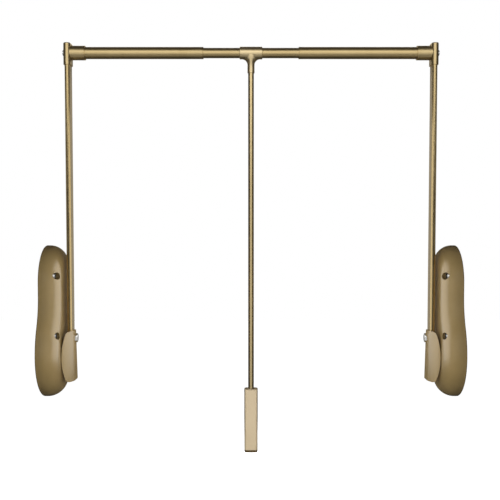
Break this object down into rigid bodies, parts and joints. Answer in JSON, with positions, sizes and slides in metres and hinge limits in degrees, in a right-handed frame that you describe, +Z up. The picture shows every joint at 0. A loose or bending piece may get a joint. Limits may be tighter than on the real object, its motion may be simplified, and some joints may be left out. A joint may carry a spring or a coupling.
{
  "type": "swing-down wardrobe rail",
  "caption": "Wardrobe lift: a telescopic clothes rail on arms that swing forward and down from spring casings on the side walls, with a hanging pull rod and grip.",
  "frame": {"origin": "where the swing axis meets the left wall face", "axes": "+X across the wardrobe from the left wall to the right wall, +Y into the wardrobe, +Z up"},
  "size_m": [0.88, 0.155, 0.8656],
  "materials": {
    "casing_plastic": "satin",
    "painted_zinc": "satin",
    "brass_tube": "satin brass-coloured anodising",
    "brass_cast": "satin brass plating",
    "zinc_steel": "zinc plated",
    "plate_steel": "galvanised",
    "machined_steel": "ground",
    "spring_steel": "oiled",
    "damper_steel": "black paint",
    "nylon": "natural",
    "dark_nylon": "moulded",
    "rubber": "matte"
  },
  "bodies": {
    "left_unit": {"left_casing": "casing_plastic", "left_base_plate": "plate_steel", "left_casing_screws": "zinc_steel", "left_screw_ferrules": "zinc_steel", "left_bearing_bridge": "plate_steel", "left_frame_screws": "zinc_steel", "left_shaft_bushes": "nylon", "left_rack_guide": "nylon", "left_rubber_stop": "rubber", "left_lift_spring": "spring_steel", "left_spring_abutment": "plate_steel", "left_damper_cylinder": "damper_steel"},
    "left_arm": {"left_pivot_shaft": "machined_steel", "left_shaft_clip": "machined_steel", "left_pinion": "machined_steel", "left_arm_bracket": "painted_zinc", "left_bracket_pin": "machined_steel", "left_bracket_bolt": "zinc_steel", "left_arm_tube": "brass_tube", "left_corner_connector": "painted_zinc", "left_connector_screw": "zinc_steel", "left_rail_tube": "brass_tube", "left_rail_bush": "dark_nylon", "left_rail_lock_screw": "zinc_steel"},
    "left_rack": {"left_rack_carriage": "nylon", "left_spring_guide_rod": "machined_steel", "left_damper_rod": "machined_steel"},
    "centre_rail": {"inner_rail_tube": "brass_tube"},
    "pull_rod": {"tee_connector": "brass_cast", "tee_screw": "zinc_steel", "pull_rod": "brass_tube", "handle_grip": "casing_plastic", "grip_pin": "machined_steel"},
    "right_arm": {"right_pivot_shaft": "machined_steel", "right_shaft_clip": "machined_steel", "right_pinion": "machined_steel", "right_arm_bracket": "painted_zinc", "right_bracket_pin": "machined_steel", "right_bracket_bolt": "zinc_steel", "right_arm_tube": "brass_tube", "right_corner_connector": "painted_zinc", "right_connector_screw": "zinc_steel", "right_rail_tube": "brass_tube", "right_rail_bush": "dark_nylon", "right_rail_lock_screw": "zinc_steel"},
    "right_unit": {"right_casing": "casing_plastic", "right_base_plate": "plate_steel", "right_casing_screws": "zinc_steel", "right_screw_ferrules": "zinc_steel", "right_bearing_bridge": "plate_steel", "right_frame_screws": "zinc_steel", "right_shaft_bushes": "nylon", "right_rack_guide": "nylon", "right_rubber_stop": "rubber", "right_lift_spring": "spring_steel", "right_spring_abutment": "plate_steel", "right_damper_cylinder": "damper_steel"},
    "right_rack": {"right_rack_carriage": "nylon", "right_spring_guide_rod": "machined_steel", "right_damper_rod": "machined_steel"}
  },
  "joints": [
    {"name": "arm_swing", "type": "hinge", "parent": "left_unit", "child": "left_arm", "pos_m": [0, 0, 0], "axis": [1, 0, 0], "range_deg": [0, 110], "stiffness_Nm_per_rad": 7, "springref_deg": -68.75},
    {"name": "rail_width", "type": "slide", "parent": "left_arm", "child": "centre_rail", "axis": [1, 0, 0], "range_m": [-0.025, 0.135]},
    {"name": "rail_width_right", "type": "slide", "parent": "centre_rail", "child": "right_arm", "axis": [1, 0, 0], "range_m": [-0.025, 0.135]},
    {"name": "right_swing", "type": "hinge", "parent": "right_arm", "child": "right_unit", "pos_m": [0.88, 0, 0], "axis": [1, 0, 0], "range_deg": [-110, 0]},
    {"name": "pull_rod_swing", "type": "hinge", "parent": "centre_rail", "child": "pull_rod", "pos_m": [0.44, 0, 0.6375], "axis": [1, 0, 0], "continuous": true},
    {"name": "left_rack_lift", "type": "slide", "parent": "left_unit", "child": "left_rack", "axis": [0, 0, 1], "range_m": [0, 0.03841], "deforming": ["left_lift_spring"]},
    {"name": "right_rack_lift", "type": "slide", "parent": "right_unit", "child": "right_rack", "axis": [0, 0, 1], "range_m": [0, 0.03841], "deforming": ["right_lift_spring"]}
  ],
  "couplings": [
    {"joint": "rail_width_right", "follows": "rail_width", "ratio": 1},
    {"joint": "right_swing", "follows": "arm_swing", "ratio": -1},
    {"joint": "left_rack_lift", "follows": "arm_swing", "m_per_rad": 0.02},
    {"joint": "right_rack_lift", "follows": "arm_swing", "m_per_rad": 0.02}
  ]
}
